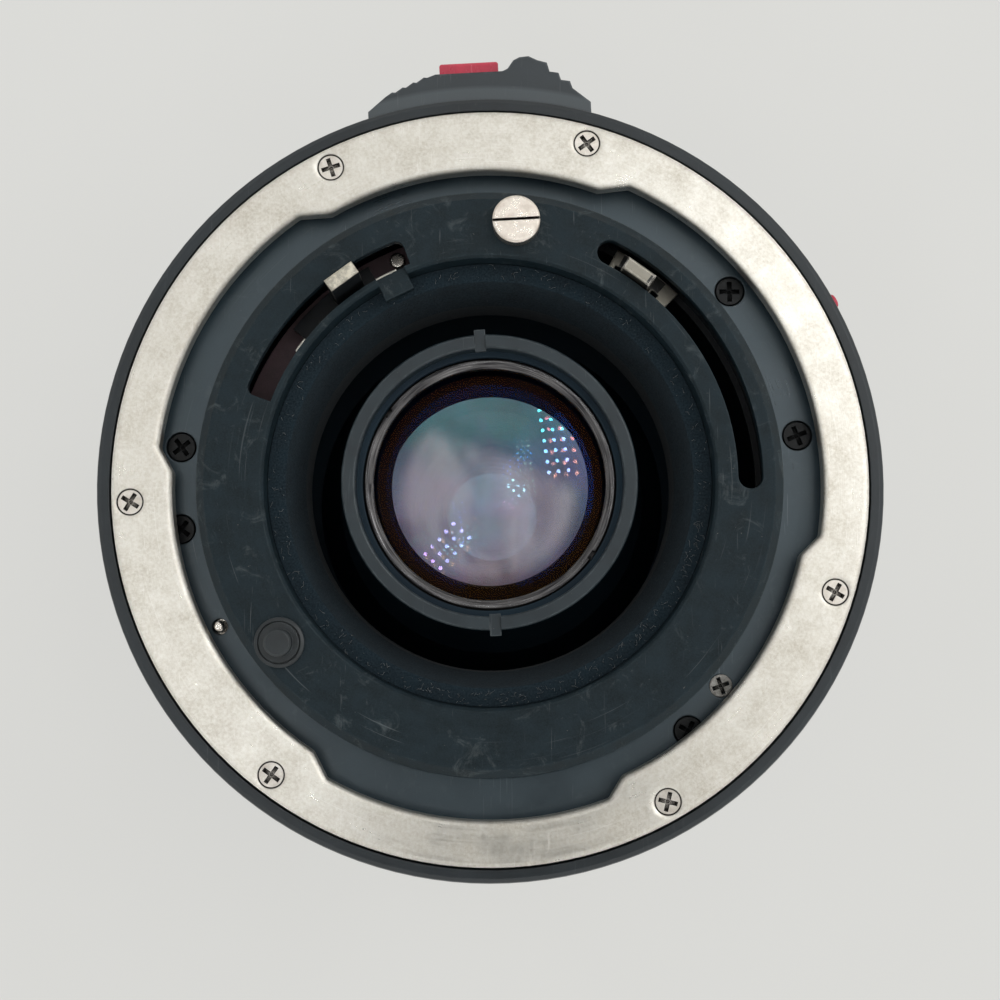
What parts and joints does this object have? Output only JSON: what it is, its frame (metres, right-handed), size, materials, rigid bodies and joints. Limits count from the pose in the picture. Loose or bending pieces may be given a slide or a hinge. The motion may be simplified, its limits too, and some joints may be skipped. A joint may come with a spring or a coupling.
{
  "type": "zoom lens",
  "caption": "Black zoom lens for a film reflex camera, standing on its front rim, silver lugged locking ring and lever slots at the camera end, zoom and focus rings that turn.",
  "frame": {"origin": "on the optical axis at the front rim's face, which is the mouth of the filter thread", "axes": "+Z runs along the optical axis from the front rim to the camera end, +Y points to the side with the serrated grip block, +X to the right seen from behind with +Y up"},
  "size_m": [0.0646, 0.07, 0.0936],
  "materials": {
    "silver_plated_brass": "satin",
    "steel": "satin",
    "spring_steel": "drawn",
    "black_anodised": "black anodised",
    "black_screw": "blackened",
    "matte_black_plastic": "moulded",
    "inner_aluminium": "matte black",
    "brass_pins": "turned",
    "grey_retainer": "worn anodised",
    "phenolic": "brown",
    "rubber": "moulded",
    "red_enamel": "red",
    "coated_glass": "coated",
    "blade_steel": "blackened"
  },
  "bodies": {
    "barrel": {"mount_core": "black_anodised", "core_screws": "black_screw", "core_steel_screw": "steel", "lock_pin_spring": "spring_steel", "rear_barrel": "black_anodised", "barrel_screws": "steel", "thrust_ring": "black_anodised", "click_ball": "steel", "click_spring": "spring_steel", "rear_plate": "matte_black_plastic", "locating_stud": "steel", "signal_pin": "matte_black_plastic", "light_baffle": "matte_black_plastic", "lever_carrier": "phenolic", "carrier_rivet": "steel", "main_sleeve": "inner_aluminium", "front_barrel": "inner_aluminium"},
    "lock_ring": {"lock_collar": "black_anodised", "bayonet_ring": "silver_plated_brass", "bayonet_screws": "steel", "index_dot": "red_enamel"},
    "lock_pin": {"lock_pin": "steel"},
    "stop_down": {"stop_down_ring": "silver_plated_brass", "stop_down_lever": "steel", "stop_down_spring": "spring_steel"},
    "aperture": {"aperture_ring": "black_anodised", "grip_block": "black_anodised", "signal_sleeve": "black_anodised", "signal_lever": "steel", "aperture_key_screw": "steel", "lock_button_spring": "spring_steel"},
    "lock_button": {"lock_button": "red_enamel"},
    "zoom": {"zoom_ring": "black_anodised", "zoom_grip": "rubber", "zoom_key_screws": "steel", "cam_barrel": "inner_aluminium"},
    "focus": {"focus_ring": "black_anodised", "focus_grip": "rubber"},
    "front_group": {"front_carriage": "black_anodised", "front_cam_pins": "brass_pins"},
    "focus_key": {"focus_key_ring": "black_anodised"},
    "front_cell": {"front_cell": "black_anodised", "front_element": "coated_glass", "second_element": "coated_glass", "front_retaining_ring": "black_anodised"},
    "rear_group": {"rear_carriage": "inner_aluminium", "rear_cam_pins": "brass_pins", "tail_ring": "black_anodised", "rear_retaining_ring": "grey_retainer", "rear_element": "coated_glass", "rear_spacer": "inner_aluminium", "cemented_pair": "coated_glass", "fourth_element": "coated_glass", "iris_housing": "inner_aluminium"},
    "iris_drive": {"iris_drive_ring": "inner_aluminium"},
    "blade_1": {"iris_blade_1": "blade_steel"},
    "blade_2": {"iris_blade_2": "blade_steel"},
    "blade_3": {"iris_blade_3": "blade_steel"},
    "blade_4": {"iris_blade_4": "blade_steel"},
    "blade_5": {"iris_blade_5": "blade_steel"}
  },
  "joints": [
    {"name": "lock_ring_turn", "type": "hinge", "parent": "barrel", "child": "lock_ring", "pos_m": [0, 0, 0], "axis": [0, 0, 1], "range_deg": [0, 55]},
    {"name": "lock_pin_press", "type": "slide", "parent": "barrel", "child": "lock_pin", "axis": [0, 0, -1], "range_m": [0, 0.0008], "stiffness_N_per_m": 200, "deforming": ["lock_pin_spring"]},
    {"name": "stop_down_turn", "type": "hinge", "parent": "barrel", "child": "stop_down", "pos_m": [0, 0, 0], "axis": [0, 0, 1], "range_deg": [0, 22], "stiffness_Nm_per_rad": 0.02},
    {"name": "aperture_turn", "type": "hinge", "parent": "barrel", "child": "aperture", "pos_m": [0, 0, 0], "axis": [0, 0, 1], "range_deg": [-46, 3]},
    {"name": "lock_button_press", "type": "slide", "parent": "aperture", "child": "lock_button", "axis": [0.0506, -0.9987, 0], "range_m": [0, 0.0008], "stiffness_N_per_m": 250},
    {"name": "zoom_turn", "type": "hinge", "parent": "barrel", "child": "zoom", "pos_m": [0, 0, 0], "axis": [0, 0, 1], "range_deg": [0, 75]},
    {"name": "front_group_slide", "type": "slide", "parent": "barrel", "child": "front_group", "axis": [0, 0, 1], "range_m": [0, 0.003]},
    {"name": "rear_group_slide", "type": "slide", "parent": "barrel", "child": "rear_group", "axis": [0, 0, 1], "range_m": [-0.014, 0]},
    {"name": "focus_turn", "type": "hinge", "parent": "barrel", "child": "focus", "pos_m": [0, 0, 0], "axis": [0, 0, 1], "range_deg": [0, 140]},
    {"name": "focus_key_turn", "type": "hinge", "parent": "front_group", "child": "focus_key", "pos_m": [0, 0, 0], "axis": [0, 0, 1], "range_deg": [0, 140]},
    {"name": "front_cell_slide", "type": "slide", "parent": "focus_key", "child": "front_cell", "axis": [0, 0, 1], "range_m": [-0.006, 0]},
    {"name": "iris_drive_turn", "type": "hinge", "parent": "rear_group", "child": "iris_drive", "pos_m": [0, 0, 0], "axis": [0, 0, 1], "range_deg": [0, 22]},
    {"name": "blade_1_swing", "type": "hinge", "parent": "rear_group", "child": "blade_1", "pos_m": [0.014, 0, 0.0505], "axis": [0, 0, 1], "range_deg": [0, 30]},
    {"name": "blade_2_swing", "type": "hinge", "parent": "rear_group", "child": "blade_2", "pos_m": [0.00433, 0.01331, 0.0505], "axis": [0, 0, 1], "range_deg": [0, 30]},
    {"name": "blade_3_swing", "type": "hinge", "parent": "rear_group", "child": "blade_3", "pos_m": [-0.01133, 0.00823, 0.0505], "axis": [0, 0, 1], "range_deg": [0, 30]},
    {"name": "blade_4_swing", "type": "hinge", "parent": "rear_group", "child": "blade_4", "pos_m": [-0.01133, -0.00823, 0.0505], "axis": [0, 0, 1], "range_deg": [0, 30]},
    {"name": "blade_5_swing", "type": "hinge", "parent": "rear_group", "child": "blade_5", "pos_m": [0.00433, -0.01331, 0.0505], "axis": [0, 0, 1], "range_deg": [0, 30]}
  ],
  "couplings": [
    {"joint": "front_group_slide", "follows": "zoom_turn", "m_per_rad": 0.002291},
    {"joint": "rear_group_slide", "follows": "zoom_turn", "m_per_rad": -0.010695},
    {"joint": "focus_key_turn", "follows": "focus_turn", "ratio": 1},
    {"joint": "front_cell_slide", "follows": "focus_turn", "m_per_rad": -0.002455},
    {"joint": "iris_drive_turn", "follows": "stop_down_turn", "ratio": 1},
    {"joint": "blade_1_swing", "follows": "stop_down_turn", "ratio": 1.3636},
    {"joint": "blade_2_swing", "follows": "stop_down_turn", "ratio": 1.3636},
    {"joint": "blade_3_swing", "follows": "stop_down_turn", "ratio": 1.3636},
    {"joint": "blade_4_swing", "follows": "stop_down_turn", "ratio": 1.3636},
    {"joint": "blade_5_swing", "follows": "stop_down_turn", "ratio": 1.3636}
  ]
}
